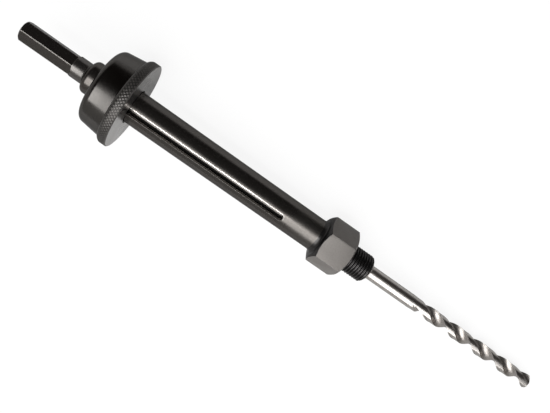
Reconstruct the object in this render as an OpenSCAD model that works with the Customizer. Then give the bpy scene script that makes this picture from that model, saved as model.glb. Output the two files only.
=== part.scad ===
// Hole saw arbor with a plug ejector: a long slotted tube between a hex-flatted
// drive shank and a threaded hex nose, a pilot drill down the middle, and a
// knurled collar that slides along the tube and carries the ejector sleeve.
// The tool's axis is X, towards the drill tip. The origin is the centre of the
// hex's front face, where the hole saw seats.

/* [Nose and seat] */
// Major diameter of the saw thread
thread_d = 12.7; // [11.5:0.1:14]
// Length of the threaded nose ahead of the seat
thread_len = 11.2; // [8:0.1:16]
// Chamfer at the end of the thread
thread_chamfer = 0.9; // [0.5:0.1:1.2]
// Width of the nose hex across its flats
hex_af = 20.1; // [18:0.1:24]
// Length of the nose hex
hex_len = 14.3; // [10:0.1:20]
// Diameter of the flat ring that the hex chamfers leave on each face
hex_face_d = 18.6; // [17.2:0.1:19]
// Angle of the hex chamfers to the faces
hex_chamfer_angle = 30; // [20:1:45]
// Bore of the nose, which guides the ejector sleeve
nose_bore_d = 9; // [8.7:0.1:9.2]

/* [Slotted tube] */
// Outer diameter of the tube and of the shank's shoulder
tube_d = 14.3; // [13.5:0.1:16]
// Bore of the tube
tube_bore_d = 10.6; // [10:0.1:11]
// Length of the tube behind the hex
tube_len = 108.6; // [100:0.1:120]
// Fillet where the tube meets the hex
tube_fillet = 1.5; // [0.8:0.1:2]
// Width of each slot
slot_w = 3.1; // [2.8:0.1:3.4]
// Turn of the slots about the tool's axis, from straight up
slot_turn = 12.6; // [0:0.1:30]
// How far the collar slides forward
collar_travel = 78.85; // [60:0.05:80]

/* [Drive shank] */
// Length of the milled flats
flats_len = 23.5; // [16:0.1:32]
// Width across the milled flats
flats_af = 8.1; // [7.8:0.1:8.8]
// Diameter of the round bar that the flats are milled from
neck_d = 9.4; // [9.2:0.1:10]
// Length of the round neck ahead of the flats
neck_len = 5.5; // [4.5:0.1:10]
// Radius of the cutter that mills the flats, seen at their front ends
cutter_r = 1; // [0.5:0.1:3]
// Chamfer at the shank's end
shank_chamfer = 0.8; // [0.3:0.1:1.2]
// Length of the shoulder that closes the tube
shoulder_len = 5.8; // [4:0.1:9]
// Rounding of the shoulder's rear edge
shoulder_round = 2; // [0.5:0.1:2.2]
// Fillet at the root of the neck
neck_fillet = 0.8; // [0.3:0.1:1.2]
// Length of the spigot that is pressed into the tube
spigot_len = 6; // [5.8:0.1:6.2]
// How far the pilot drill's bore runs on into the shoulder
bore_past_tube = 2.6; // [1:0.1:4]

/* [Pilot drill] */
// Diameter of the pilot drill
pilot_d = 6.35; // [5.5:0.05:6.4]
// Reach of the drill ahead of the seat
pilot_reach = 105.2; // [90:0.1:120]
// Length of the flutes with the point
flute_len = 69.2; // [50:0.1:76]
// Advance of a flute in one full turn
flute_lead = 28; // [22:0.1:36]
// Thickness of the web between the flutes
web = 1.6; // [1.2:0.1:2]
// Radius of each flute in cross-section
flute_r = 4.8; // [4.2:0.1:5.2]
// Length over which a flute fades into the plain shank
flute_runout = 6; // [3:0.1:10]
// Full angle of the drill point
point_angle = 118; // [100:1:135]
// Depth of the flat that the set screw bears on
pilot_flat = 0.4; // [0.2:0.1:0.6]

/* [Collar] */
// Gap between the collar at rest and the tube's rear end
collar_gap = 0.2; // [0:0.1:0.8]
// Length of the cup
cup_len = 10.9; // [10:0.1:12]
// Diameter of the cup at its back
cup_rear_d = 33.2; // [31:0.1:35]
// Diameter of the cup where it meets the ring
cup_front_d = 35.5; // [34:0.1:37]
// Rounding of the cup's rear edge
cup_round = 2.9; // [1:0.1:3.2]
// Thickness of the cup's back wall
cup_wall = 2.2; // [1.8:0.1:2.6]
// Outer diameter of the knurled ring
ring_d = 39; // [38:0.1:42]
// Length of the knurled ring
ring_len = 4.4; // [4.2:0.1:5]
// Thickness of the ring's front wall
ring_wall = 2.4; // [1.8:0.1:3]
// Length of the bevel behind the knurl
ring_bevel_len = 1.7; // [0.8:0.1:2]
// Diameter at which that bevel starts
ring_bevel_d = 37; // [36:0.1:38]
// Chamfer at the ring's front edge
ring_chamfer = 0.3; // [0.1:0.1:0.6]
// Diameter of the ring's screwed spigot inside the cup
ring_spigot_d = 29; // [28:0.1:30]
// Length of that spigot
ring_spigot_len = 3; // [2:0.1:4]
// Diameter of the hub inside the collar
hub_d = 24.9; // [24:0.1:26]

/* [Ejector and fastenings] */
// Diameter of the two drive pins
pin_d = 2.9; // [2.6:0.05:2.95]
// Distance from the ring's front face back to the drive pins
pin_setback = 5.6; // [5.2:0.1:5.8]
// Outer diameter of the ejector sleeve
sleeve_d = 8.8; // [8.4:0.1:8.8]
// Bore of the ejector sleeve
sleeve_bore_d = 7; // [7:0.1:7.2]
// Length of the sleeve's head, which the drive pins enter
head_len = 6; // [5:0.1:6.4]
// How far the sleeve's mouth lies inside the nose
sleeve_setback = 0.5; // [0:0.1:3]
// Diameter of the set screw that holds the pilot drill
screw_d = 4; // [3:0.1:4.4]
// Width across the flats of its socket
screw_socket = 2; // [1.5:0.1:2.2]
// Diameter of the dowels that lock the tube to the spigot
dowel_d = 2.5; // [2:0.1:2.6]
// Distance from the tube's rear end to the screw and the dowels
lock_setback = 2.7; // [2.5:0.1:2.9]
// Diameter of the detent balls
ball_d = 3; // [2.4:0.1:3.2]
// Distance from the tube's rear end to the detent balls
ball_setback = 5.7; // [5.4:0.1:6]
// Depth of the tube's dimples under the detent balls
dimple_depth = 0.35; // [0.2:0.05:0.5]
// Wire diameter of the detent springs
wire_d = 0.4; // [0.3:0.05:0.5]

/* [Hidden] */
$fn = 96;

// Radial clearance of a piece that slides or turns in its bore
running = 0.05;
// Radial clearance between faces that pass each other without guiding
free = 0.35;
// Radial clearance of a piece that is fitted once, such as a screw or pin
fitted = 0.05;
// How far a cutting shape runs past the face that it opens
past = 1;

black_oxide = [0.13, 0.13, 0.14];
gloss_black = [0.07, 0.07, 0.08];
satin_steel = [0.62, 0.61, 0.59];
polished = [0.80, 0.80, 0.81];
spring_steel = [0.50, 0.51, 0.53];

// Stations along the axis, from the shank's end to the drill's tip
tube_rear = -hex_len - tube_len;
shoulder_rear = tube_rear - shoulder_len;
flats_front = shoulder_rear - neck_len;
shank_end = flats_front - flats_len;
spigot_front = tube_rear + spigot_len;
pilot_rear = tube_rear - bore_past_tube;
lock_x = tube_rear + lock_setback;
ball_x = tube_rear + ball_setback;
collar_rear = tube_rear + collar_gap;
cup_front = collar_rear + cup_len;
ring_front = cup_front + ring_len;
hub_rear = collar_rear + cup_wall;
hub_front = ring_front - ring_wall;
pin_x = ring_front - pin_setback;
head_rear = pin_x - head_len / 2;
sleeve_front = thread_len - sleeve_setback;
flute_start = pilot_reach - flute_len;

hex_corner_r = hex_af / sqrt(3);
collar_hole_d = tube_d + 2 * free;
hub_bore_d = tube_d + 2 * running;
hub_cavity_d = hub_d + 2 * fitted;
head_d = tube_bore_d - 2 * running;
pilot_bore_d = pilot_d + 2 * fitted;
ball_hole_d = ball_d + 2 * running;
ball_centre_r = tube_d / 2 + running + ball_d / 2;

// A shape turned about the tool's axis. Its profile is drawn as [radius, x].
module turned() {
    rotate([0, 90, 0]) rotate_extrude() children();
}

// A plain round bar or bore between two stations
module round_bar(from, to, d) {
    translate([from, 0, 0]) rotate([0, 90, 0]) cylinder(d = d, h = to - from);
}

// Places a shape that stands along Z so that it points out of the axis
module radial(x, turn) {
    rotate([turn, 0, 0]) translate([x, 0, 0]) children();
}

module hex_prism(af, from, to) {
    translate([from, 0, 0]) rotate([0, 90, 0])
        rotate(30) cylinder(d = af * 2 / sqrt(3), h = to - from, $fn = 6);
}

// The nose hex, chamfered on both faces
module nose_hex() {
    rise = (hex_corner_r + past - hex_face_d / 2) * tan(hex_chamfer_angle);
    intersection() {
        hex_prism(hex_af, -hex_len, 0);
        turned() polygon([
            [0, -hex_len], [hex_face_d / 2, -hex_len],
            [hex_corner_r + past, -hex_len + rise], [hex_corner_r + past, -rise],
            [hex_face_d / 2, 0], [0, 0]
        ]);
    }
}

// One slot: round ends, as a milling cutter leaves it, with the collar's
// drive pin concentric with an end at each stop
module slot_cut() {
    reach = tube_d / 2 + past;
    translate([pin_x, 0, 0]) cylinder(d = slot_w, h = reach);
    translate([pin_x + collar_travel, 0, 0]) cylinder(d = slot_w, h = reach);
    translate([pin_x, -slot_w / 2, 0]) cube([collar_travel, slot_w, reach]);
}

module slotted_body() {
    color(black_oxide) difference() {
        union() {
            round_bar(tube_rear, -hex_len + past, tube_d);
            nose_hex();
            turned() difference() {
                translate([0, -hex_len - tube_fillet])
                    square([tube_d / 2 + tube_fillet, tube_fillet + past]);
                translate([tube_d / 2 + tube_fillet, -hex_len - tube_fillet])
                    circle(tube_fillet);
            }
            turned() polygon([
                [0, -past], [thread_d / 2, -past],
                [thread_d / 2, thread_len - thread_chamfer],
                [thread_d / 2 - thread_chamfer, thread_len], [0, thread_len]
            ]);
        }
        round_bar(tube_rear - past, -hex_len, tube_bore_d);
        round_bar(-hex_len - past, thread_len + past, nose_bore_d);
        for (turn = [slot_turn, slot_turn + 180]) rotate([turn, 0, 0]) slot_cut();
        radial(lock_x, slot_turn) cylinder(d = screw_d + 2 * fitted, h = tube_d);
        for (turn = [slot_turn + 90, slot_turn - 90]) {
            radial(lock_x, turn) cylinder(d = dowel_d + 2 * fitted, h = tube_d);
            radial(ball_x, turn) translate([0, 0, tube_d / 2 - dimple_depth + ball_d / 2])
                sphere(d = ball_d);
        }
    }
}

// One of the six milled flats: a flat bottom with the cutter's own radius
// where the cut lifts out of the bar
module flat_cut() {
    depth = neck_d / 2;
    translate([shank_end - past, -neck_d / 2, flats_af / 2])
        cube([flats_len + past - cutter_r, neck_d, depth]);
    intersection() {
        translate([flats_front - cutter_r, 0, flats_af / 2 + cutter_r])
            rotate([90, 0, 0]) cylinder(r = cutter_r, h = neck_d, center = true);
        translate([flats_front - cutter_r - past, -neck_d / 2, flats_af / 2])
            cube([cutter_r * 2 + past, neck_d, depth]);
    }
}

module drive_shank() {
    neck_r = neck_d / 2;
    shoulder_r = tube_d / 2;
    color(black_oxide) difference() {
        union() {
            turned() polygon([
                [0, shank_end], [neck_r - shank_chamfer, shank_end],
                [neck_r, shank_end + shank_chamfer], [neck_r, shoulder_rear],
                [shoulder_r - shoulder_round, shoulder_rear],
                [shoulder_r, shoulder_rear + shoulder_round],
                [shoulder_r, tube_rear], [0, tube_rear]
            ]);
            // The rounded rear edge of the shoulder
            turned() intersection() {
                translate([shoulder_r - shoulder_round, shoulder_rear + shoulder_round])
                    circle(shoulder_round);
                translate([shoulder_r - shoulder_round, shoulder_rear])
                    square(shoulder_round);
            }
            // The fillet at the root of the neck
            turned() difference() {
                translate([neck_r - fitted, shoulder_rear - neck_fillet])
                    square([neck_fillet + fitted, neck_fillet + fitted]);
                translate([neck_r + neck_fillet, shoulder_rear - neck_fillet])
                    circle(neck_fillet);
            }
            round_bar(tube_rear - past, spigot_front, tube_bore_d - 2 * fitted);
        }
        round_bar(pilot_rear, spigot_front + past, pilot_bore_d);
        for (side = [0 : 5]) rotate([side * 60 + 90, 0, 0]) flat_cut();
        radial(lock_x, slot_turn) cylinder(d = screw_d + 2 * fitted, h = tube_d);
        for (turn = [slot_turn + 90, slot_turn - 90])
            radial(lock_x, turn) cylinder(d = dowel_d + 2 * fitted, h = tube_d);
    }
}

// Cross-section of the drill: two lands with a raised margin on the leading
// edge, and two round flutes whose centres stand at the distance given
land_steps = 5;
flute_steps = 9;
margin_angle = 12;
land_relief = 0.14;

function meet_angle(centre, r) =
    let (c = (r * r + centre * centre - flute_r * flute_r) / (2 * r * centre))
    c >= 1 ? 0.5 : acos(c);

function half_section(centre, r) =
    let (open = meet_angle(centre, r),
         edge = [r * cos(open), r * sin(open)],
         swing = atan2(edge[1], centre - edge[0]),
         relief = min(land_relief, land_relief * open / 20),
         land = 180 - 2 * open)
    concat(
        [for (i = [0 : flute_steps - 1])
            let (a = 180 + swing - 2 * swing * i / flute_steps)
            [centre + flute_r * cos(a), flute_r * sin(a)]],
        [for (i = [0 : land_steps])
            let (a = open + (land - margin_angle) * i / land_steps)
            (r - relief) * [cos(a), sin(a)]],
        [r * [cos(open + land - margin_angle), sin(open + land - margin_angle)]]
    );

function spun(points, angle) =
    [for (p = points) [p[0] * cos(angle) - p[1] * sin(angle),
                       p[0] * sin(angle) + p[1] * cos(angle)]];

function clamped(points, limit) =
    [for (p = points) norm(p) > limit ? p * limit / norm(p) : p];

function full_section(centre, r) =
    let (half = half_section(centre, r)) concat(half, spun(half, 180));

// The fluted length with its point. Each ring of the skin is the section at
// that station, turned by the helix and held inside the point's cone.
turn_step = 12;
point_steps = 4;
flute_phase = 87;
// How much smaller the lands are ground than the shank
land_grind = 0.02;
// How far the fluted length is rooted in the plain shank
flute_root = 0.5;

module fluted_length() {
    r = pilot_d / 2 - land_grind;
    point_len = r / tan(point_angle / 2);
    body_len = flute_len - point_len;
    rings = ceil(body_len / flute_lead * 360 / turn_step);
    stations = concat(
        [-flute_root],
        [for (i = [0 : rings]) body_len * i / rings],
        [for (i = [1 : point_steps]) body_len + point_len * i / (point_steps + 0.4)]
    );
    deep = flute_r + web / 2;
    sections = [for (x = stations)
        let (fade = max(0, 1 - x / flute_runout),
             centre = deep + (r + flute_r - deep) * fade * fade,
             cone_r = (flute_len - x) * tan(point_angle / 2))
        spun(clamped(full_section(centre, r), max(cone_r, web / 8)),
             flute_phase + 360 * x / flute_lead)];
    count = len(sections[0]);
    last = len(stations) - 1;
    points = concat(
        [for (k = [0 : last]) for (p = sections[k]) [flute_start + stations[k], p[0], p[1]]],
        [[flute_start - flute_root, 0, 0], [pilot_reach, 0, 0]]
    );
    start_point = count * (last + 1);
    faces = concat(
        [for (k = [0 : last - 1]) for (i = [0 : count - 1])
            let (a = k * count + i, b = k * count + (i + 1) % count)
            [a, a + count, b]],
        [for (k = [0 : last - 1]) for (i = [0 : count - 1])
            let (a = k * count + i, b = k * count + (i + 1) % count)
            [b, a + count, b + count]],
        [for (i = [0 : count - 1]) [start_point, i, (i + 1) % count]],
        [for (i = [0 : count - 1])
            [start_point + 1, last * count + (i + 1) % count, last * count + i]]
    );
    polyhedron(points, faces, convexity = 8);
}

module pilot_drill() {
    color(polished) union() {
        difference() {
            round_bar(pilot_rear, flute_start, pilot_d);
            rotate([slot_turn, 0, 0])
                translate([lock_x - screw_d / 2 - fitted, -pilot_d / 2, pilot_d / 2 - pilot_flat])
                cube([screw_d + 2 * fitted, pilot_d, pilot_d]);
        }
        fluted_length();
    }
}

module pilot_set_screw() {
    foot = pilot_d / 2 - pilot_flat;
    head = tube_d / 2 - 0.25;
    color(black_oxide) radial(lock_x, slot_turn) difference() {
        translate([0, 0, foot]) cylinder(d = screw_d, h = head - foot);
        translate([0, 0, head - screw_socket]) rotate(30)
            cylinder(d = screw_socket * 2 / sqrt(3), h = screw_socket + past, $fn = 6);
    }
}

module shank_dowel(turn) {
    foot = pilot_bore_d / 2 + 2 * fitted;
    color(satin_steel) radial(lock_x, turn)
        translate([0, 0, foot]) cylinder(d = dowel_d, h = tube_d / 2 - 0.2 - foot);
}

module shank_dowel_left() shank_dowel(slot_turn - 90);

module shank_dowel_right() shank_dowel(slot_turn + 90);

module collar_cup() {
    rear_r = cup_rear_d / 2;
    front_r = cup_front_d / 2;
    color(gloss_black) difference() {
        turned() union() {
            polygon([
                [0, collar_rear], [rear_r - cup_round, collar_rear],
                [rear_r - cup_round, collar_rear + cup_round],
                [rear_r, collar_rear + cup_round], [front_r, cup_front], [0, cup_front]
            ]);
            intersection() {
                translate([rear_r - cup_round, collar_rear + cup_round]) circle(cup_round);
                translate([rear_r - cup_round - fitted, collar_rear])
                    square(cup_round + fitted);
            }
        }
        round_bar(collar_rear - past, cup_front, collar_hole_d);
        round_bar(hub_rear, cup_front + past, hub_cavity_d);
        round_bar(cup_front - ring_spigot_len, cup_front + past, ring_spigot_d + 2 * fitted);
    }
}

module knurled_ring() {
    r = ring_d / 2;
    color(black_oxide) difference() {
        union() {
            turned() polygon([
                [0, cup_front], [ring_bevel_d / 2, cup_front],
                [r, cup_front + ring_bevel_len], [r, ring_front - ring_chamfer],
                [r - ring_chamfer, ring_front], [0, ring_front]
            ]);
            round_bar(cup_front - ring_spigot_len, cup_front + past, ring_spigot_d);
        }
        round_bar(cup_front - ring_spigot_len - past, ring_front + past, collar_hole_d);
        round_bar(cup_front - ring_spigot_len - past, hub_front, hub_cavity_d);
    }
}

// The hub runs on the tube and fills the collar. It holds the drive pins in
// line with the slots and the sprung detent balls across them.
module slide_hub() {
    color(satin_steel) difference() {
        round_bar(hub_rear, hub_front, hub_d);
        round_bar(hub_rear - past, hub_front + past, hub_bore_d);
        for (turn = [slot_turn, slot_turn + 180])
            radial(pin_x, turn) cylinder(d = pin_d + 2 * fitted, h = hub_d);
        for (turn = [slot_turn + 90, slot_turn - 90])
            radial(ball_x, turn) cylinder(d = ball_hole_d, h = hub_d);
    }
}

module drive_pin(turn) {
    foot = sleeve_bore_d / 2 + free;
    color(satin_steel) radial(pin_x, turn)
        translate([0, 0, foot]) cylinder(d = pin_d, h = hub_d / 2 - 2 * fitted - foot);
}

module drive_pin_upper() drive_pin(slot_turn);

module drive_pin_lower() drive_pin(slot_turn + 180);

module detent_ball(turn) {
    color(polished) radial(ball_x, turn) translate([0, 0, ball_centre_r]) sphere(d = ball_d);
}

module detent_ball_left() detent_ball(slot_turn - 90);

module detent_ball_right() detent_ball(slot_turn + 90);

// A detent spring: round wire wound from the ball's crown to the cup's wall
spring_turns = 3;
spring_steps = 12;
wire_sides = 6;

module detent_spring(turn) {
    coil_r = ball_d / 2 - wire_d / 2 - 2 * fitted;
    wire_r = wire_d / 2;
    low = ball_centre_r + sqrt(pow(ball_d / 2 + wire_r, 2) - coil_r * coil_r) + fitted;
    high = hub_d / 2 - wire_r;
    last = spring_turns * spring_steps;
    points = [for (k = [0 : last]) for (i = [0 : wire_sides - 1])
        let (a = 360 * k / spring_steps, b = 360 * i / wire_sides,
             reach = coil_r + wire_r * cos(b))
        [reach * cos(a), reach * sin(a), low + (high - low) * k / last + wire_r * sin(b)]];
    faces = concat(
        [for (k = [0 : last - 1]) for (i = [0 : wire_sides - 1])
            let (a = k * wire_sides + i, b = k * wire_sides + (i + 1) % wire_sides)
            [a, b, b + wire_sides]],
        [for (k = [0 : last - 1]) for (i = [0 : wire_sides - 1])
            let (a = k * wire_sides + i, b = k * wire_sides + (i + 1) % wire_sides)
            [a, b + wire_sides, a + wire_sides]],
        [[for (i = [wire_sides - 1 : -1 : 0]) i]],
        [[for (i = [0 : wire_sides - 1]) last * wire_sides + i]]
    );
    color(spring_steel) radial(ball_x, turn) polyhedron(points, faces, convexity = 6);
}

module detent_spring_left() detent_spring(slot_turn - 90);

module detent_spring_right() detent_spring(slot_turn + 90);

// The ejector sleeve: a thin tube round the pilot drill with a head that
// slides in the tube's bore and takes the drive pins
module ejector_sleeve() {
    color(black_oxide) difference() {
        union() {
            round_bar(head_rear, head_rear + head_len, head_d);
            round_bar(head_rear, sleeve_front, sleeve_d);
        }
        round_bar(head_rear - past, sleeve_front + past, sleeve_bore_d);
        for (turn = [slot_turn, slot_turn + 180])
            radial(pin_x, turn) cylinder(d = pin_d + 2 * fitted, h = head_d);
    }
}

drive_shank();
slotted_body();
pilot_drill();
pilot_set_screw();
shank_dowel_left();
shank_dowel_right();
collar_cup();
knurled_ring();
slide_hub();
drive_pin_upper();
drive_pin_lower();
detent_ball_left();
detent_ball_right();
detent_spring_left();
detent_spring_right();
ejector_sleeve();
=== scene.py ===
import math
import bpy
from mathutils import Matrix, Vector


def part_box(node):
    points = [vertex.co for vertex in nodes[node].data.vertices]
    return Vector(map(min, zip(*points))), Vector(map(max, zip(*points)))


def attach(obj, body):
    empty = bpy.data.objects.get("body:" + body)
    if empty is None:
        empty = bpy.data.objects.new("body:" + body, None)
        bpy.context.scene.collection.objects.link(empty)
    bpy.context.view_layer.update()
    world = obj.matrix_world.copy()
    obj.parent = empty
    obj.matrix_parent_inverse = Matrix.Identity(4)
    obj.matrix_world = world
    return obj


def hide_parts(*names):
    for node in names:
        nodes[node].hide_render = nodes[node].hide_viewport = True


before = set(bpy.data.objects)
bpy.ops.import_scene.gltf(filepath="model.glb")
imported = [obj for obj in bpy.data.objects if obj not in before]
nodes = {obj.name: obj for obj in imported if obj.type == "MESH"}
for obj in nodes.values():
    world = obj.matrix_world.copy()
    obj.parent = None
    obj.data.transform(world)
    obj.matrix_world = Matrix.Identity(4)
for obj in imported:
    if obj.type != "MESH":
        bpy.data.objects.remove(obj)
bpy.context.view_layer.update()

mm = 0.001
past = 1 * mm  # how far a cutting tool reaches past what it cuts
tiny = 0.002 * mm  # points nearer than this count as one place


# stations along the tool's axis, read from the frame
tubeLow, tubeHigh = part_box("slotted_body")
shankLow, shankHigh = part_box("drive_shank")
cupLow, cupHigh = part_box("collar_cup")
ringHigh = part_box("knurled_ring")[1]
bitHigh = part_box("pilot_drill")[1]
tubeRear = tubeLow.x
noseEnd = tubeHigh.x
cupBack = cupLow.x
cupFront = cupHigh.x
ringFront = ringHigh.x
tubeRadius = shankHigh.z
ringRadius = ringHigh.y
bitRadius = bitHigh.y


# small helpers

def deselectAll():
    if bpy.context.object and bpy.context.object.mode != "OBJECT":
        bpy.ops.object.mode_set(mode="OBJECT")
    bpy.ops.object.select_all(action="DESELECT")


def makeActive(piece):
    deselectAll()
    piece.select_set(True)
    bpy.context.view_layer.objects.active = piece


def settle(piece, name):
    makeActive(piece)
    bpy.ops.object.transform_apply(location=True, rotation=True, scale=True)
    piece.name = name
    piece.data.name = name
    return piece


def pick(piece, test):
    # selects the vertices that pass the test, and what lies between them
    mesh = piece.data
    for v in mesh.vertices:
        v.select = test(v.co)
    for part in list(mesh.edges) + list(mesh.polygons):
        part.select = all(mesh.vertices[i].select for i in part.vertices)


def cleanShell(piece, near=tiny):
    # merges points that lie this near to each other, and turns the faces outward
    makeActive(piece)
    bpy.ops.object.mode_set(mode="EDIT")
    bpy.ops.mesh.select_all(action="SELECT")
    bpy.ops.mesh.remove_doubles(threshold=near)
    bpy.ops.mesh.normals_make_consistent(inside=False)
    bpy.ops.object.mode_set(mode="OBJECT")
    return piece


def arc(centreX, centreR, radius, start, stop, steps=8):
    # points [x, r] on a round stretch of a turned profile, angles in degrees
    points = []
    for i in range(steps + 1):
        a = math.radians(start + (stop - start) * i / steps)
        points.append((centreX + radius * math.cos(a), centreR + radius * math.sin(a)))
    return points


def turn(name, profile, steps=128):
    # a closed outline [x, r], spun about the tool's axis
    deselectAll()
    bpy.ops.mesh.primitive_circle_add(vertices=len(profile))
    piece = bpy.context.object
    for v, (x, r) in zip(piece.data.vertices, profile):
        v.co = (x, 0, r)
    bpy.ops.object.mode_set(mode="EDIT")
    bpy.ops.mesh.select_all(action="SELECT")
    bpy.ops.mesh.spin(steps=steps, angle=math.tau, center=(0, 0, 0), axis=(1, 0, 0))
    bpy.ops.object.mode_set(mode="OBJECT")
    settle(piece, name)
    return cleanShell(piece)


def barAlong(name, start, stop, radius, sides):
    # a straight bar on the tool's axis
    deselectAll()
    bpy.ops.mesh.primitive_cylinder_add(
        vertices=sides, radius=radius, depth=stop - start,
        location=((start + stop) / 2, 0, 0), rotation=(0, math.pi / 2, 0))
    return settle(bpy.context.object, name)


def boolean(piece, tool, operation):
    # cuts with, keeps or adds the tool, and throws the tool away
    step = piece.modifiers.new(operation.lower(), "BOOLEAN")
    step.operation = operation
    step.solver = "EXACT"
    step.object = tool
    makeActive(piece)
    bpy.ops.object.modifier_apply(modifier=step.name)
    bpy.data.objects.remove(tool)


def softenEdges(piece, width, limit):
    # a small round on the edges sharper than the limit
    step = piece.modifiers.new("softEdges", "BEVEL")
    step.width = width
    step.segments = 2
    step.limit_method = "ANGLE"
    step.angle_limit = math.radians(limit)
    makeActive(piece)
    bpy.ops.object.modifier_apply(modifier=step.name)


def smooth(piece, angle=35):
    makeActive(piece)
    bpy.ops.object.shade_smooth_by_angle(angle=math.radians(angle))


def finishPiece(piece, material, slotName, body, *cadNodes):
    piece.data.materials.clear()
    piece.data.materials.append(material)
    if cadNodes:
        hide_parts(*cadNodes)
    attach(piece, body)


def secondFinish(piece, material, test):
    # another material on the faces that pass the test
    piece.data.materials.append(material)
    for face in piece.data.polygons:
        if test(face):
            face.material_index = len(piece.data.materials) - 1


def outward(face):
    # how far the face's middle lies from the tool's axis
    return Vector(face.center[1:]).length


# shader groups that several finishes share

def newGroup(name, inputs, outputs):
    group = bpy.data.node_groups.new(name, "ShaderNodeTree")
    for label, kind, value in inputs:
        socket = group.interface.new_socket(label, in_out="INPUT", socket_type=kind)
        socket.default_value = value
    for label, kind in outputs:
        group.interface.new_socket(label, in_out="OUTPUT", socket_type=kind)
    enter = group.nodes.new("NodeGroupInput")
    leave = group.nodes.new("NodeGroupOutput")
    return group, enter, leave


def mathNode(tree, operation, a, b=None, clamp=False):
    node = tree.nodes.new("ShaderNodeMath")
    node.operation = operation
    node.use_clamp = clamp
    for socket, value in zip(node.inputs, (a, b)):
        if value is None:
            continue
        if isinstance(value, (int, float)):
            socket.default_value = value
        else:
            tree.links.new(value, socket)
    return node.outputs[0]


def spread(tree, value, low, high, outLow=0.0, outHigh=1.0):
    node = tree.nodes.new("ShaderNodeMapRange")
    node.inputs["From Min"].default_value = low
    node.inputs["From Max"].default_value = high
    node.inputs["To Min"].default_value = outLow
    node.inputs["To Max"].default_value = outHigh
    tree.links.new(value, node.inputs["Value"])
    return node.outputs[0]


def latheMarksGroup():
    # fine rings left by turning, a little uneven round the axis
    number = "NodeSocketFloat"
    group, enter, leave = newGroup(
        "latheMarks",
        [("Rings", number, 9000.0), ("Across", number, 60.0)],
        [("Height", number)])
    place = group.nodes.new("ShaderNodeTexCoord")
    split = group.nodes.new("ShaderNodeSeparateXYZ")
    group.links.new(place.outputs["Object"], split.inputs[0])
    join = group.nodes.new("ShaderNodeCombineXYZ")
    for axis, label in enumerate(("Rings", "Across", "Across")):
        scaled = mathNode(group, "MULTIPLY", split.outputs[axis], enter.outputs[label])
        group.links.new(scaled, join.inputs[axis])
    noise = group.nodes.new("ShaderNodeTexNoise")
    noise.inputs["Scale"].default_value = 1.0
    noise.inputs["Detail"].default_value = 2.0
    group.links.new(join.outputs[0], noise.inputs["Vector"])
    group.links.new(noise.outputs[0], leave.inputs["Height"])
    return group


def handlingGroup():
    # soft patches where the surface has been handled, and fine mottling
    number = "NodeSocketFloat"
    group, enter, leave = newGroup(
        "handling",
        [("Patch Scale", number, 90.0), ("Mottle Scale", number, 1400.0)],
        [("Patches", number), ("Mottle", number)])
    place = group.nodes.new("ShaderNodeTexCoord")
    for label, outLabel, low, high in (("Patch Scale", "Patches", 0.35, 0.65),
                                       ("Mottle Scale", "Mottle", 0.3, 0.7)):
        noise = group.nodes.new("ShaderNodeTexNoise")
        noise.inputs["Detail"].default_value = 4.0
        group.links.new(place.outputs["Object"], noise.inputs["Vector"])
        group.links.new(enter.outputs[label], noise.inputs["Scale"])
        group.links.new(spread(group, noise.outputs[0], low, high), leave.inputs[outLabel])
    return group


def edgeWearGroup():
    # bare metal where edges are rubbed, broken up by noise
    number = "NodeSocketFloat"
    group, enter, leave = newGroup(
        "edgeWear",
        [("Width", number, 0.0002), ("Low", number, 0.01), ("High", number, 0.1),
         ("Break Up", number, 700.0)],
        [("Wear", number)])
    shape = group.nodes.new("ShaderNodeNewGeometry")
    rounded = group.nodes.new("ShaderNodeBevel")
    rounded.samples = 6
    group.links.new(enter.outputs["Width"], rounded.inputs["Radius"])
    facing = group.nodes.new("ShaderNodeVectorMath")
    facing.operation = "DOT_PRODUCT"
    group.links.new(rounded.outputs["Normal"], facing.inputs[0])
    group.links.new(shape.outputs["Normal"], facing.inputs[1])
    ranged = group.nodes.new("ShaderNodeMapRange")
    group.links.new(mathNode(group, "SUBTRACT", 1.0, facing.outputs["Value"]),
                    ranged.inputs["Value"])
    group.links.new(enter.outputs["Low"], ranged.inputs["From Min"])
    group.links.new(enter.outputs["High"], ranged.inputs["From Max"])
    place = group.nodes.new("ShaderNodeTexCoord")
    noise = group.nodes.new("ShaderNodeTexNoise")
    noise.inputs["Detail"].default_value = 3.0
    group.links.new(place.outputs["Object"], noise.inputs["Vector"])
    group.links.new(enter.outputs["Break Up"], noise.inputs["Scale"])
    broken = spread(group, noise.outputs[0], low=0.3, high=0.6, outLow=0.6)
    group.links.new(mathNode(group, "MULTIPLY", ranged.outputs[0], broken, clamp=True),
                    leave.inputs["Wear"])
    return group


latheMarks = latheMarksGroup()
handling = handlingGroup()
edgeWear = edgeWearGroup()
print("shader groups ready")


def useGroup(tree, group, **values):
    node = tree.nodes.new("ShaderNodeGroup")
    node.node_tree = group
    for label, value in values.items():
        node.inputs[label.replace("_", " ")].default_value = value
    return node


def mixColour(tree, factor, colourA, colourB):
    node = tree.nodes.new("ShaderNodeMix")
    node.data_type = "RGBA"
    tree.links.new(factor, node.inputs["Factor"])
    # the mix node has its colours in sockets 6 and 7, and gives the mixed one from output 2
    for socket, colour in ((node.inputs[6], colourA), (node.inputs[7], colourB)):
        if isinstance(colour, tuple):
            socket.default_value = (*colour, 1.0)
        else:
            tree.links.new(colour, socket)
    return node.outputs[2]


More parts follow.
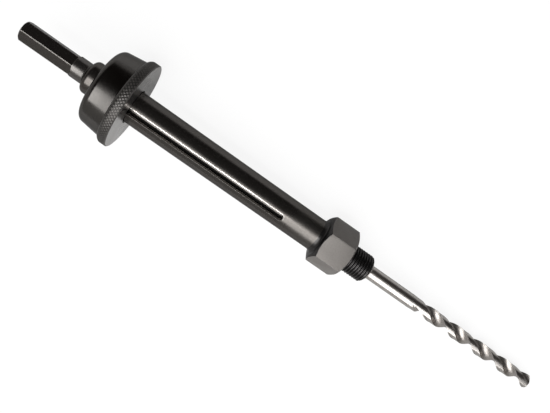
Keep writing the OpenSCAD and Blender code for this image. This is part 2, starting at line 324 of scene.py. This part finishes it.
def metalFinish(name, look):
    # a steel finish: mottled colour, patchy roughness, turning marks in the bump, worn edges.
    # Some finishes add painted shade in their grooves, from the piece's own per-point groove
    # mask, or a duller stretch.
    material = bpy.data.materials.new(name)
    material.use_nodes = True
    tree = material.node_tree
    shader = tree.nodes["Principled BSDF"]
    shader.inputs["Metallic"].default_value = look["metallic"]
    shader.inputs["Specular IOR Level"].default_value = look["specular"]
    shader.inputs["Specular Tint"].default_value = (*[look["edgeTint"]] * 3, 1)
    touch = useGroup(tree, handling, Patch_Scale=look["patchScale"],
                     Mottle_Scale=look["mottleScale"])
    rings = useGroup(tree, latheMarks, Rings=look["rings"], Across=look["across"])
    colour = mixColour(tree, touch.outputs["Mottle"], look["dark"], look["light"])
    # painted shade: the grooves take a near-black colour from the per-point mask
    if look.get("groove"):
        grooveShadeMask = tree.nodes.new("ShaderNodeAttribute")
        grooveShadeMask.attribute_name = "grooveShadeMask"
        colour = mixColour(tree, grooveShadeMask.outputs["Fac"], look["groove"], colour)
    roughness = spread(tree, touch.outputs["Patches"], 0, 1,
                       look["roughness"] - look["unevenness"],
                       look["roughness"] + look["unevenness"])
    if look.get("duller"):
        # the surface grows duller over a stretch of the axis
        place = tree.nodes.new("ShaderNodeTexCoord")
        split = tree.nodes.new("ShaderNodeSeparateXYZ")
        tree.links.new(place.outputs["Object"], split.inputs[0])
        begin, end, extra = look["duller"]
        roughness = mathNode(tree, "ADD", roughness,
                             spread(tree, split.outputs[0], begin, end, 0.0, extra))
    if look.get("wear"):
        worn = useGroup(tree, edgeWear, Width=look["wearWidth"])
        amount = mathNode(tree, "MULTIPLY", worn.outputs["Wear"], look["wear"])
        colour = mixColour(tree, amount, colour, look["bare"])
    bump = tree.nodes.new("ShaderNodeBump")
    bump.inputs["Strength"].default_value = look["bump"]
    bump.inputs["Distance"].default_value = look["bumpDepth"]
    height = mathNode(tree, "ADD", rings.outputs["Height"],
                      mathNode(tree, "MULTIPLY", touch.outputs["Mottle"], look["mottleBump"]))
    tree.links.new(height, bump.inputs["Height"])
    tree.links.new(colour, shader.inputs["Base Color"])
    tree.links.new(roughness, shader.inputs["Roughness"])
    tree.links.new(bump.outputs["Normal"], shader.inputs["Normal"])
    return material


blackOxide = metalFinish("blackOxide", {
    "dark": (0.080, 0.074, 0.069), "light": (0.094, 0.088, 0.082), "bare": (0.55, 0.53, 0.51),
    "metallic": 0.93, "specular": 0.5, "edgeTint": 0.5, "roughness": 0.21, "unevenness": 0.02,
    "patchScale": 90, "mottleScale": 1100, "rings": 9000, "across": 60,
    "bump": 0.02, "bumpDepth": 0.01 * mm, "mottleBump": 0.2,
    "wear": 1.0, "wearWidth": 0.28 * mm, "duller": (-34 * mm, -25 * mm, 0.12)})

# painted highlight: a lighter copy of the black oxide, laid on the shank's round neck so its
# highlight reads brighter
neckHighlightOxide = metalFinish("neckHighlightOxide", {
    "dark": (0.110, 0.105, 0.100), "light": (0.135, 0.129, 0.123),
    "metallic": 0.93, "specular": 0.5, "edgeTint": 0.5, "roughness": 0.26, "unevenness": 0.03,
    "patchScale": 90, "mottleScale": 2200, "rings": 9000, "across": 60,
    "bump": 0.06, "bumpDepth": 0.01 * mm, "mottleBump": 0.3})

glossBlack = metalFinish("glossBlack", {
    "dark": (0.092, 0.088, 0.084), "light": (0.106, 0.101, 0.096), "bare": (0.2, 0.19, 0.18),
    "metallic": 1.0, "specular": 0.5, "edgeTint": 0.5, "roughness": 0.21, "unevenness": 0.04,
    "patchScale": 110, "mottleScale": 1100, "rings": 5000, "across": 50,
    "bump": 0.03, "bumpDepth": 0.01 * mm, "mottleBump": 0.2,
    "wear": 0.2, "wearWidth": 0.15 * mm})

hexSteel = metalFinish("hexSteel", {
    "dark": (0.110, 0.102, 0.095), "light": (0.131, 0.122, 0.114), "bare": (0.62, 0.60, 0.58),
    "metallic": 0.4, "specular": 0.3, "edgeTint": 1.0, "roughness": 0.5, "unevenness": 0.04,
    "patchScale": 120, "mottleScale": 1500, "rings": 4000, "across": 90,
    "bump": 0.1, "bumpDepth": 0.01 * mm, "mottleBump": 0.5,
    "wear": 1.0, "wearWidth": 0.4 * mm})

knurlBlack = metalFinish("knurlBlack", {
    "dark": (0.080, 0.076, 0.072), "light": (0.104, 0.099, 0.094), "bare": (0.4, 0.39, 0.38),
    # painted shade: the colour laid in the bottoms of the knurl grooves
    "groove": (0.012, 0.011, 0.011),
    "metallic": 0.8, "specular": 0.4, "edgeTint": 0.6, "roughness": 0.44, "unevenness": 0.03,
    "patchScale": 90, "mottleScale": 2400, "rings": 6000, "across": 60,
    "bump": 0.06, "bumpDepth": 0.01 * mm, "mottleBump": 0.3,
    "wear": 0.3, "wearWidth": 0.1 * mm})

groundSteel = metalFinish("groundSteel", {
    "dark": (0.40, 0.38, 0.362), "light": (0.46, 0.44, 0.42),
    "metallic": 1.0, "specular": 0.5, "edgeTint": 0.6, "roughness": 0.31, "unevenness": 0.02,
    "patchScale": 110, "mottleScale": 700, "rings": 9000, "across": 60,
    "bump": 0.01, "bumpDepth": 0.01 * mm, "mottleBump": 0.2})

fluteSteel = metalFinish("fluteSteel", {
    "dark": (0.24, 0.222, 0.208), "light": (0.40, 0.376, 0.356),
    "metallic": 1.0, "specular": 0.5, "edgeTint": 0.7, "roughness": 0.42, "unevenness": 0.05,
    "patchScale": 160, "mottleScale": 1600, "rings": 5000, "across": 3000,
    "bump": 0.15, "bumpDepth": 0.02 * mm, "mottleBump": 0.4})

# dark oxide of the saw thread; the tube also uses it as painted shade on its fillet and
# back-facing faces
threadBlackAndPaintedShade = metalFinish("threadBlackAndPaintedShade", {
    "dark": (0.036, 0.035, 0.035), "light": (0.05, 0.048, 0.047), "bare": (0.25, 0.24, 0.24),
    "metallic": 0.9, "specular": 0.5, "edgeTint": 0.6, "roughness": 0.3, "unevenness": 0.03,
    "patchScale": 120, "mottleScale": 2000, "rings": 4000, "across": 60,
    "bump": 0.08, "bumpDepth": 0.01 * mm, "mottleBump": 0.3,
    "wear": 0.5, "wearWidth": 0.12 * mm})

ringFace = metalFinish("ringFace", {
    "dark": (0.35, 0.341, 0.333), "light": (0.44, 0.43, 0.42),
    "metallic": 1.0, "specular": 0.5, "edgeTint": 0.8, "roughness": 0.3, "unevenness": 0.04,
    "patchScale": 90, "mottleScale": 1600, "rings": 50, "across": 6000,
    "bump": 0.1, "bumpDepth": 0.01 * mm, "mottleBump": 0.4})

plainSteel = metalFinish("plainSteel", {
    "dark": (0.42, 0.41, 0.40), "light": (0.52, 0.51, 0.50),
    "metallic": 1.0, "specular": 0.5, "edgeTint": 1.0, "roughness": 0.3, "unevenness": 0.05,
    "patchScale": 110, "mottleScale": 1800, "rings": 9000, "across": 80,
    "bump": 0.15, "bumpDepth": 0.02 * mm, "mottleBump": 0.4})
print("finishes ready")


# drive shank: a round bar with six milled flats, and the shoulder behind the tube

shank = {
    "barRadius": 4.7 * mm, "endChamfer": 0.8 * mm, "acrossFlats": 8.1 * mm,
    "acrossCorners": 9.18 * mm, "flatsFront": -134.2 * mm, "cutterRadius": 1 * mm,
    "cutterWidth": 12 * mm, "shoulderRear": -128.7 * mm, "shoulderRound": 2 * mm,
    "neckFillet": 0.8 * mm, "spigotFront": -116.9 * mm, "spigotRadius": 5.25 * mm,
    "flats": 6, "cutterRounding": 0.98, "neckHighlightFrom": -134.3 * mm, "neckHighlightTo": -129.1 * mm,
}


def makeShank():
    s = shank
    bar, end = s["barRadius"], shankLow.x
    profile = [(end, 0), (end, bar - s["endChamfer"]), (end + s["endChamfer"], bar)]
    profile += arc(s["shoulderRear"] - s["neckFillet"], bar + s["neckFillet"],
                   s["neckFillet"], -90, 0, steps=5)
    profile += arc(s["shoulderRear"] + s["shoulderRound"], tubeRadius - s["shoulderRound"],
                   s["shoulderRound"], 180, 90, steps=10)
    profile += [(tubeRear, tubeRadius), (tubeRear, s["spigotRadius"]),
                (s["spigotFront"], s["spigotRadius"]), (s["spigotFront"], 0)]
    piece = turn("shankBar", profile)
    # each flat, and each narrow facet between two flats, is cut by a block with a rounded
    # lower front edge, as the milling cutter leaves it
    r = s["cutterRadius"]
    for side in range(2 * s["flats"]):
        across = s["acrossCorners"] if side % 2 else s["acrossFlats"]
        deselectAll()
        length = s["flatsFront"] - end + 2 * past
        bpy.ops.mesh.primitive_cube_add(size=1)
        block = bpy.context.object
        block.scale = (length, s["cutterWidth"], 2 * r)
        block.location = (s["flatsFront"] - length / 2, 0, across / 2 + r)
        settle(block, "flatCutter")
        bpy.ops.object.mode_set(mode="EDIT")
        bpy.ops.mesh.select_all(action="DESELECT")
        bpy.ops.object.mode_set(mode="OBJECT")
        for e in block.data.edges:
            ends = [block.data.vertices[v].co for v in e.vertices]
            e.select = all(p.x > s["flatsFront"] - tiny and p.z < across / 2 + tiny for p in ends)
        bpy.ops.object.mode_set(mode="EDIT")
        bpy.ops.mesh.bevel(offset=r * s["cutterRounding"], segments=10, affect="EDGES")
        bpy.ops.object.mode_set(mode="OBJECT")
        block.data.transform(Matrix.Rotation(math.radians(90 + 180 / s["flats"] * side), 4, "X"))
        boolean(piece, block, "DIFFERENCE")
    smooth(piece, angle=20)
    finishPiece(piece, blackOxide, "black_oxide", "arbor", "drive_shank")
    # painted highlight: the lighter oxide copy on the round neck between the flats and the
    # shoulder
    secondFinish(piece, neckHighlightOxide, lambda face: s["neckHighlightFrom"] < face.center.x < s["neckHighlightTo"])


makeShank()
print("drive shank done")


# slotted tube with the nose hex blended into it

tube = {
    "boreRadius": 5.3 * mm, "noseBoreRadius": 4.5 * mm, "hexRear": -14.3 * mm,
    "hexAcross": 20.1 * mm, "hexFaceRadius": 9.3 * mm, "chamferAngle": 30,
    "fillet": 1.5 * mm, "filletLength": 2.4 * mm, "slotWidth": 3.1 * mm, "slotRear": -113.0 * mm,
    "slotTravel": 78.85 * mm, "slotTurn": 12.6, "lockX": -120.2 * mm,
    "screwHole": 2.05 * mm, "edge": 0.1 * mm, "sharp": 25, "inHex": 2 * mm,
    "cutterMiddle": 7 * mm, "slotCutter": 10 * mm, "holeCutter": 8 * mm,
    "outside": 6.6 * mm, "facesBack": -0.05,
}


def makeTube():
    s = tube
    corner = s["hexAcross"] / math.sqrt(3)
    blank = [(tubeRear, 0), (tubeRear, tubeRadius)]
    for x, r in arc(0, s["fillet"], s["fillet"], -90, 0, steps=10):
        blank.append((s["hexRear"] + (x / s["fillet"] - 1) * s["filletLength"], tubeRadius + r))
    blank += [(s["hexRear"] + s["inHex"], tubeRadius + s["fillet"]),
              (s["hexRear"] + s["inHex"], 0)]
    piece = turn("slottedTube", blank, steps=256)
    hexBar = barAlong("hexBar", s["hexRear"], 0, corner, sides=6)
    out = corner + past
    rise = (out - s["hexFaceRadius"]) * math.tan(math.radians(s["chamferAngle"]))
    chamfers = turn("hexChamfers", [
        (s["hexRear"], 0), (s["hexRear"], s["hexFaceRadius"]), (s["hexRear"] + rise, out),
        (-rise, out), (0, s["hexFaceRadius"]), (0, 0)])
    boolean(hexBar, chamfers, "INTERSECT")
    softenEdges(hexBar, s["edge"], s["sharp"])
    boolean(piece, hexBar, "UNION")
    bore = turn("boreTool", [
        (tubeRear - past, 0), (tubeRear - past, s["boreRadius"]),
        (s["hexRear"], s["boreRadius"]), (s["hexRear"], s["noseBoreRadius"]),
        (past, s["noseBoreRadius"]), (past, 0)])
    boolean(piece, bore, "DIFFERENCE")
    half = s["slotWidth"] / 2
    for turned in (s["slotTurn"], s["slotTurn"] + 180):
        deselectAll()
        bpy.ops.mesh.primitive_cylinder_add(
            vertices=48, radius=half, depth=s["slotCutter"],
            location=(s["slotRear"], 0, s["cutterMiddle"]))
        cutter = settle(bpy.context.object, "slotCutter")
        for v in cutter.data.vertices:  # the front half of the cutter runs on to the far stop
            if v.co.x > s["slotRear"] - tiny:
                v.co.x += s["slotTravel"]
        cutter.data.transform(Matrix.Rotation(math.radians(turned), 4, "X"))
        boolean(piece, cutter, "DIFFERENCE")
    deselectAll()
    bpy.ops.mesh.primitive_cylinder_add(
        vertices=40, radius=s["screwHole"], depth=s["holeCutter"],
        location=(s["lockX"], 0, s["cutterMiddle"]))
    hole = settle(bpy.context.object, "screwHoleTool")
    hole.data.transform(Matrix.Rotation(math.radians(s["slotTurn"]), 4, "X"))
    boolean(piece, hole, "DIFFERENCE")
    smooth(piece)
    finishPiece(piece, blackOxide, "black_oxide", "arbor", "slotted_body")
    # the hex's own finish, and painted shade: the dark thread finish on the fillet and on all
    # that faces back
    secondFinish(piece, hexSteel, lambda face: outward(face) > s["outside"] and
                 face.center.x > s["hexRear"] + tiny)
    secondFinish(piece, threadBlackAndPaintedShade, lambda face: outward(face) > s["outside"] and
                 face.center.x > s["hexRear"] - s["filletLength"] and
                 face.normal.x < s["facesBack"])


makeTube()
print("slotted tube done")


# the saw thread on the nose

thread = {
    "majorRadius": 6.35 * mm, "pitch": 1.27 * mm, "depth": 0.72 * mm, "chamfer": 0.9 * mm,
    "plain": 0.5 * mm, "runOut": 1.5 * mm, "around": 96, "along": 160,
}


def ridge(phase, flat=0.14, root=0.2):
    # height of a 60 degree thread over one pitch, from 0 at the root to 1 at the crest
    away = abs(phase - math.floor(phase) - 0.5) * 2
    return 1 - min(max((away - flat) / (1 - flat - root), 0), 1)


def finePipe(name, start, stop, radius, around, along):
    # an open pipe drawn out ring by ring, ready to have its surface shaped
    deselectAll()
    bpy.ops.mesh.primitive_circle_add(vertices=around, radius=radius,
                                      location=(start, 0, 0), rotation=(0, math.pi / 2, 0))
    piece = settle(bpy.context.object, name)
    bpy.ops.object.mode_set(mode="EDIT")
    bpy.ops.mesh.select_all(action="SELECT")
    for ring in range(along):
        bpy.ops.mesh.extrude_edges_move(
            TRANSFORM_OT_translate={"value": ((stop - start) / along, 0, 0)})
    bpy.ops.object.mode_set(mode="OBJECT")
    return piece


def makeThread():
    s = thread
    piece = finePipe("sawThread", 0.0, noseEnd, s["majorRadius"], s["around"], s["along"])
    core = s["majorRadius"] - s["depth"]
    for v in piece.data.vertices:
        angle = math.atan2(v.co.z, v.co.y)
        high = ridge(v.co.x / s["pitch"] - angle / math.tau)
        fade = min(max((v.co.x - s["plain"]) / s["runOut"], 0), 1)
        r = core + s["depth"] * high * fade
        r = min(r, s["majorRadius"] - s["chamfer"] + (noseEnd - v.co.x))
        v.co.y, v.co.z = r * math.cos(angle), r * math.sin(angle)
    # the end face runs in to the nose bore, and the bore closes the inside
    makeActive(piece)
    pick(piece, lambda co: co.x > noseEnd - tiny)
    bpy.ops.object.mode_set(mode="EDIT")
    bpy.ops.mesh.extrude_edges_move()
    bpy.ops.object.mode_set(mode="OBJECT")
    bore = tube["noseBoreRadius"]
    for v in piece.data.vertices:
        if v.select:
            angle = math.atan2(v.co.z, v.co.y)
            v.co.y, v.co.z = bore * math.cos(angle), bore * math.sin(angle)
    bpy.ops.object.mode_set(mode="EDIT")
    bpy.ops.mesh.extrude_edges_move(TRANSFORM_OT_translate={"value": (-noseEnd, 0, 0)})
    bpy.ops.object.mode_set(mode="OBJECT")
    pick(piece, lambda co: co.x < tiny)
    bpy.ops.object.mode_set(mode="EDIT")
    bpy.ops.mesh.bridge_edge_loops()
    bpy.ops.object.mode_set(mode="OBJECT")
    cleanShell(piece)
    smooth(piece, angle=32)
    finishPiece(piece, threadBlackAndPaintedShade, "black_oxide", "arbor")


makeThread()
print("saw thread done")


# pilot drill: a ground bar whose front is drawn out ring by ring along the helix

bit = {
    "fluteLength": 69.2 * mm, "lead": 28 * mm, "web": 1.6 * mm, "fluteRadius": 4.8 * mm,
    "runOut": 9 * mm, "pointAngle": 118, "landRelief": 0.14 * mm, "marginAngle": 12,
    "phase": 87, "ringsPerTurn": 60, "landPoints": 36, "flutePoints": 20,
    "boreEnd": -125.5 * mm, "brightLand": 0.25 * mm, "shankOverlap": 0.005 * mm,
    "shankSides": 128, "pointRings": 8, "leastOpening": 0.4, "fullRelief": 20,
    "merge": 0.00001 * mm,
}


def halfSection(centre, radius):
    # one flute and one land, as points [y, z]: half of the drill's outline before it is turned
    s = bit
    flute = s["fluteRadius"]
    c = (radius ** 2 + centre ** 2 - flute ** 2) / (2 * radius * centre)
    opening = math.radians(s["leastOpening"]) if c >= 1 else math.acos(c)
    swing = math.atan2(radius * math.sin(opening), centre - radius * math.cos(opening))
    points = []
    for i in range(s["flutePoints"]):
        a = math.pi + swing - 2 * swing * i / s["flutePoints"]
        points.append((centre + flute * math.cos(a), flute * math.sin(a)))
    land = math.pi - 2 * opening
    margin = math.radians(s["marginAngle"])
    relief = s["landRelief"] * min(1, opening / math.radians(s["fullRelief"]))
    for i in range(s["landPoints"] + 1):
        a = opening + (land - margin) * i / s["landPoints"]
        points.append(((radius - relief) * math.cos(a), (radius - relief) * math.sin(a)))
    for part in (1.0, 0.5):
        a = opening + land - margin * part
        points.append((radius * math.cos(a), radius * math.sin(a)))
    return points


def drillSection(x, radius):
    # the whole outline at a distance x along the fluted length
    s = bit
    deep = s["fluteRadius"] + s["web"] / 2
    fade = (1 + math.cos(math.pi * min(1, x / s["runOut"]))) / 2
    centre = deep + (radius + s["fluteRadius"] - deep) * fade
    half = halfSection(centre, radius)
    outline = half + [(-y, -z) for y, z in half]
    cone = (s["fluteLength"] - x) * math.tan(math.radians(s["pointAngle"] / 2))
    turned = math.radians(s["phase"]) + math.tau * x / s["lead"]
    placed = []
    for y, z in outline:
        far = math.hypot(y, z)
        if far > cone:
            y, z = y * cone / far, z * cone / far
        placed.append((y * math.cos(turned) - z * math.sin(turned),
                       y * math.sin(turned) + z * math.cos(turned)))
    return placed


def makeBit():
    s = bit
    radius = bitRadius
    start = bitHigh.x - s["fluteLength"]
    pointLength = radius / math.tan(math.radians(s["pointAngle"] / 2))
    bodyLength = s["fluteLength"] - pointLength
    rings = math.ceil(bodyLength / s["lead"] * s["ringsPerTurn"])
    stations = [bodyLength * i / rings for i in range(rings + 1)]
    stations += [bodyLength + pointLength * i / (s["pointRings"] + 0.1)
                 for i in range(1, s["pointRings"] + 1)]
    first = drillSection(0, radius)
    deselectAll()
    bpy.ops.mesh.primitive_circle_add(vertices=len(first), radius=radius)
    piece = bpy.context.object
    for v, (y, z) in zip(piece.data.vertices, first):
        v.co = (start, y, z)
    settle(piece, "pilotBit")
    bpy.ops.object.mode_set(mode="EDIT")
    bpy.ops.mesh.select_all(action="SELECT")
    for before, here in zip(stations, stations[1:]):
        bpy.ops.mesh.extrude_edges_move(
            TRANSFORM_OT_translate={"value": (here - before, 0, 0)})
    bpy.ops.mesh.edge_face_add()
    bpy.ops.object.mode_set(mode="OBJECT")
    count = len(first)
    for ring, x in enumerate(stations):
        for k, (y, z) in enumerate(drillSection(x, radius)):
            v = piece.data.vertices[ring * count + k]
            v.co.y, v.co.z = y, z
    makeActive(piece)
    pick(piece, lambda co: co.x < start + tiny)
    bpy.ops.object.mode_set(mode="EDIT")
    bpy.ops.mesh.edge_face_add()
    bpy.ops.object.mode_set(mode="OBJECT")
    cleanShell(piece, near=s["merge"])
    # the plain shank is a round bar that runs just into the first ring
    bar = barAlong("bitShank", s["boreEnd"], start + s["shankOverlap"], radius,
                   s["shankSides"])
    makeActive(piece)
    bar.select_set(True)
    bpy.ops.object.join()
    smooth(piece, angle=28)
    finishPiece(piece, groundSteel, "bright_steel", "arbor", "pilot_drill")
    secondFinish(piece, fluteSteel, lambda face: face.center.x > start and
                 outward(face) < radius - s["brightLand"])


makeBit()
print("pilot drill done")


# collar cup

cup = {
    "rearRadius": 16.6 * mm, "round": 2.9 * mm, "holeRadius": 7.5 * mm, "wall": 2.2 * mm,
    "cavityRadius": 12.5 * mm, "seatRadius": 14.55 * mm, "seatDepth": 3 * mm,
    "lip": 0.25 * mm,
}


def makeCup():
    s = cup
    front = cupHigh.z
    profile = [(cupBack, s["holeRadius"] + s["lip"])]
    profile += arc(cupBack + s["round"], s["rearRadius"] - s["round"], s["round"], 180, 90,
                   steps=14)
    profile += [(cupFront - s["lip"], front), (cupFront, front - s["lip"]),
                (cupFront, s["seatRadius"]),
                (cupFront - s["seatDepth"], s["seatRadius"]),
                (cupFront - s["seatDepth"], s["cavityRadius"]),
                (cupBack + s["wall"], s["cavityRadius"]),
                (cupBack + s["wall"], s["holeRadius"]),
                (cupBack + s["lip"], s["holeRadius"])]
    piece = turn("collarCup", profile, steps=160)
    smooth(piece)
    finishPiece(piece, glossBlack, "gloss_black", "ejector_slide", "collar_cup")


makeCup()
print("collar cup done")


# knurled ring

knurl = {
    "bevelRadius": 18.5 * mm, "bevelLength": 1.7 * mm, "chamfer": 0.3 * mm,
    "teeth": 88, "pointsPerTooth": 8, "rows": 44, "depth": 0.14 * mm, "lean": 0.85,
    "plainEdge": 0.25 * mm, "fadeRear": 0.12, "fadeFront": 0.08, "slope": 1.3,
    "grooveShadeEdge": 2.2, "facesFront": 0.9,
    "spigotRadius": 14.5 * mm, "spigotLength": 3 * mm, "cavityRadius": 12.5 * mm,
    "frontWall": 2.4 * mm, "holeRadius": 7.5 * mm, "holeChamfer": 0.3 * mm,
}


def makeRing():
    s = knurl
    start = cupFront + s["plainEdge"]
    stop = ringFront - s["chamfer"]
    around = s["teeth"] * s["pointsPerTooth"]
    piece = finePipe("knurlRing", start, stop, ringRadius, around, s["rows"])
    length = stop - start
    pitch = math.tau * ringRadius / s["teeth"]
    rise = ringRadius - s["bevelRadius"]
    # the per-point groove mask is 1 on a diamond and 0 at the bottom of a groove, where the
    # finish paints shade
    grooveShadeMask = piece.data.attributes.new("grooveShadeMask", "FLOAT", "POINT")
    for v in piece.data.vertices:
        angle = math.atan2(v.co.z, v.co.y)
        behind = max(0, cupFront + s["bevelLength"] - v.co.x) / s["bevelLength"]
        along = (v.co.x - start) * s["lean"] / pitch
        one = angle / math.tau * s["teeth"] + along
        two = angle / math.tau * s["teeth"] - along
        low = min(abs(2 * (one - math.floor(one)) - 1), abs(2 * (two - math.floor(two)) - 1))
        edge = min(1, (v.co.x - start) / (s["fadeRear"] * length),
                   (stop - v.co.x) / (s["fadeFront"] * length))
        groove = (1 - min(1, s["slope"] * low)) * max(edge, 0)
        r = ringRadius - rise * behind ** 2 - s["depth"] * groove
        v.co.y, v.co.z = r * math.cos(angle), r * math.sin(angle)
        grooveShadeMask.data[v.index].value = 1 - (1 - min(1, s["grooveShadeEdge"] * low)) * max(edge, 0)
    # the flat front face, the wall, the cavity, the spigot and the seat against the cup
    outline = [
        (ringFront, ringRadius - s["chamfer"]), (ringFront, s["holeRadius"] + s["holeChamfer"]),
        (ringFront - s["holeChamfer"], s["holeRadius"]),
        (ringFront - s["frontWall"], s["holeRadius"]),
        (ringFront - s["frontWall"], s["cavityRadius"]),
        (cupFront - s["spigotLength"], s["cavityRadius"]),
        (cupFront - s["spigotLength"], s["spigotRadius"]),
        (cupFront, s["spigotRadius"]), (cupFront, s["bevelRadius"]),
    ]
    makeActive(piece)
    pick(piece, lambda co: co.x > stop - tiny)
    for x, r in outline:
        bpy.ops.object.mode_set(mode="EDIT")
        bpy.ops.mesh.extrude_edges_move()
        bpy.ops.object.mode_set(mode="OBJECT")
        for v in piece.data.vertices:
            if v.select:
                angle = math.atan2(v.co.z, v.co.y)
                v.co = (x, r * math.cos(angle), r * math.sin(angle))
    # close the last ring onto the back of the knurl
    for v in piece.data.vertices:
        v.select = v.select or abs(v.co.x - start) < tiny
    for e in piece.data.edges:
        e.select = all(piece.data.vertices[v].select for v in e.vertices)
    bpy.ops.object.mode_set(mode="EDIT")
    bpy.ops.mesh.bridge_edge_loops()
    bpy.ops.object.mode_set(mode="OBJECT")
    cleanShell(piece)
    smooth(piece, angle=30)
    finishPiece(piece, knurlBlack, "knurl_black", "ejector_slide", "knurled_ring")
    secondFinish(piece, ringFace, lambda face: face.normal.x > s["facesFront"] and
                 face.center.x > ringFront - tiny)


makeRing()
print("knurled ring done")


# bright mouth of the ejector sleeve, just proud of the nose

mouth = {"length": 1.5 * mm, "outer": 4.36 * mm, "inner": 3.4 * mm, "round": 0.6 * mm}


def makeMouth():
    s = mouth
    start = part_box("ejector_sleeve")[1].x
    front = start + s["length"]
    profile = [(start, s["inner"]), (start, s["outer"])]
    profile += arc(front - s["round"], s["outer"] - s["round"], s["round"], 90, 0, steps=5)
    profile += [(front, s["inner"] + s["round"] / 2), (front - s["round"] / 2, s["inner"])]
    piece = turn("sleeveMouth", profile, steps=96)
    smooth(piece)
    finishPiece(piece, groundSteel, "bright_steel", "ejector_slide")


makeMouth()
print("sleeve mouth done")


# pieces carried over from the frame

for name, finish in (
        ("slide_hub", plainSteel), ("drive_pin_upper", plainSteel),
        ("drive_pin_lower", plainSteel), ("detent_ball_left", groundSteel),
        ("detent_ball_right", groundSteel), ("detent_spring_left", plainSteel),
        ("detent_spring_right", plainSteel), ("ejector_sleeve", blackOxide),
        ("pilot_set_screw", blackOxide), ("shank_dowel_left", plainSteel),
        ("shank_dowel_right", plainSteel)):
    nodes[name].material_slots[0].material = finish
print("inner pieces dressed")


# floor, lights and camera

room = {
    "ringContact": Vector((-107.7 * mm, 0, -19.5 * mm)),
    "tipContact": Vector((103.3 * mm, 0, -3.16 * mm)),
    "floorSize": 6.0, "floorColour": (0.86, 0.86, 0.86), "floorRoughness": 0.9,
    "whiteShown": 0.9, "whiteMirrored": 0.6, "mirroredDimming": 0.55,
    "wallColour": (0.43, 0.42, 0.405), "ceilingColour": (0.024, 0.02, 0.018),
    "ceilingAxis": (0, 0.326, 0.946), "ceilingEdge": (0.36, 0.43),
}


def makeFloor():
    slope = room["tipContact"] - room["ringContact"]
    tilt = math.atan2(slope.z, slope.x)
    deselectAll()
    bpy.ops.mesh.primitive_plane_add(size=room["floorSize"])
    floor = bpy.context.object
    middle = (room["tipContact"] + room["ringContact"]) / 2
    floor.data.transform(Matrix.Translation(middle) @ Matrix.Rotation(-tilt, 4, "Y"))
    floor.name = "floor"
    material = bpy.data.materials.new("paleFloor")
    material.use_nodes = True
    tree = material.node_tree
    shader = tree.nodes["Principled BSDF"]
    shader.inputs["Base Color"].default_value = (*room["floorColour"], 1)
    shader.inputs["Roughness"].default_value = room["floorRoughness"]
    shader.inputs["Specular IOR Level"].default_value = 0.0
    # mostly plain white to the camera, and a dimmer white in mirrored light
    glow = tree.nodes.new("ShaderNodeEmission")
    rays = tree.nodes.new("ShaderNodeLightPath")
    mirrored = rays.outputs["Is Glossy Ray"]
    dimming = mathNode(tree, "MULTIPLY", mirrored, room["mirroredDimming"])
    tree.links.new(mathNode(tree, "SUBTRACT", 1.0, dimming), glow.inputs["Strength"])
    amount = mathNode(
        tree, "ADD",
        mathNode(tree, "MULTIPLY", rays.outputs["Is Camera Ray"], room["whiteShown"]),
        mathNode(tree, "MULTIPLY", mirrored, room["whiteMirrored"]))
    mix = tree.nodes.new("ShaderNodeMixShader")
    tree.links.new(amount, mix.inputs[0])
    tree.links.new(shader.outputs[0], mix.inputs[1])
    tree.links.new(glow.outputs[0], mix.inputs[2])
    tree.links.new(mix.outputs[0], tree.nodes["Material Output"].inputs["Surface"])
    floor.data.materials.append(material)


makeFloor()

camera = {
    "focus": Vector((-37.34 * mm, 0, 0)), "distance": 231.7 * mm, "shiftDown": 0.23 * mm,
    "forward": Vector((0.1416, -0.1617, -0.9766)), "up": Vector((-0.5677, 0.7950, -0.2139)),
    "down": Vector((0, -0.9866, 0.1633)), "lens": 36.13, "sensor": 36, "nearest": 0.01,
}


def makeCamera():
    s = camera
    deselectAll()
    bpy.ops.object.camera_add()
    cam = bpy.context.object
    cam.name = "photoCamera"
    back = -s["forward"].normalized()
    right = s["up"].cross(back).normalized()
    up = back.cross(right)
    spot = s["focus"] + s["shiftDown"] * s["down"] + s["distance"] * back
    cam.matrix_world = Matrix((
        (right.x, up.x, back.x, spot.x), (right.y, up.y, back.y, spot.y),
        (right.z, up.z, back.z, spot.z), (0, 0, 0, 1)))
    cam.data.sensor_width = s["sensor"]
    cam.data.lens = s["lens"]
    cam.data.clip_start = s["nearest"]
    bpy.context.scene.camera = cam


makeCamera()

# each lamp's tilt in degrees from upright towards the near side, its size across and along
# the tool, its shift along it, and its power; all hang at the same reach
lampReach = 1.0
lamps = {
    "softBox": (25.6, 0.83, 1.25, 0.0, 16.0),
    "softBoxEdge": (-2.0, 0.2, 1.1, 0.0, 0.7),
    "stripLamp": (9.0, 0.1, 0.37, -0.115, 2.25),
    "frontBox": (52.0, 0.2, 0.5, 0.58, 1.4),
}


def makeLamp(name, tilt, across, along, shift, power):
    a = math.radians(tilt)
    place = Vector((shift, -math.sin(a) * lampReach, math.cos(a) * lampReach))
    deselectAll()
    bpy.ops.object.light_add(type="AREA", location=place)
    lamp = bpy.context.object
    lamp.name = name
    lamp.data.shape = "RECTANGLE"
    lamp.data.size = along
    lamp.data.size_y = across
    lamp.rotation_euler = (a, 0, 0)
    lamp.data.energy = power


for lampName, values in lamps.items():
    makeLamp(lampName, *values)


def makeWorld():
    # pale walls below a dark ceiling, plain white where the camera sees past the floor
    world = bpy.data.worlds.new("studio")
    bpy.context.scene.world = world
    world.use_nodes = True
    tree = world.node_tree
    way = tree.nodes.new("ShaderNodeTexCoord")
    height = tree.nodes.new("ShaderNodeVectorMath")
    height.operation = "DOT_PRODUCT"
    height.inputs[1].default_value = room["ceilingAxis"]
    tree.links.new(way.outputs["Generated"], height.inputs[0])
    ceiling = spread(tree, height.outputs["Value"], *room["ceilingEdge"])
    sky = mixColour(tree, ceiling, room["wallColour"], room["ceilingColour"])
    rays = tree.nodes.new("ShaderNodeLightPath")
    shown = mixColour(tree, rays.outputs["Is Camera Ray"], sky, (1.0, 1.0, 1.0))
    tree.links.new(shown, tree.nodes["Background"].inputs["Color"])


makeWorld()
print("studio ready")

bpy.context.scene.view_settings.view_transform = "Standard"
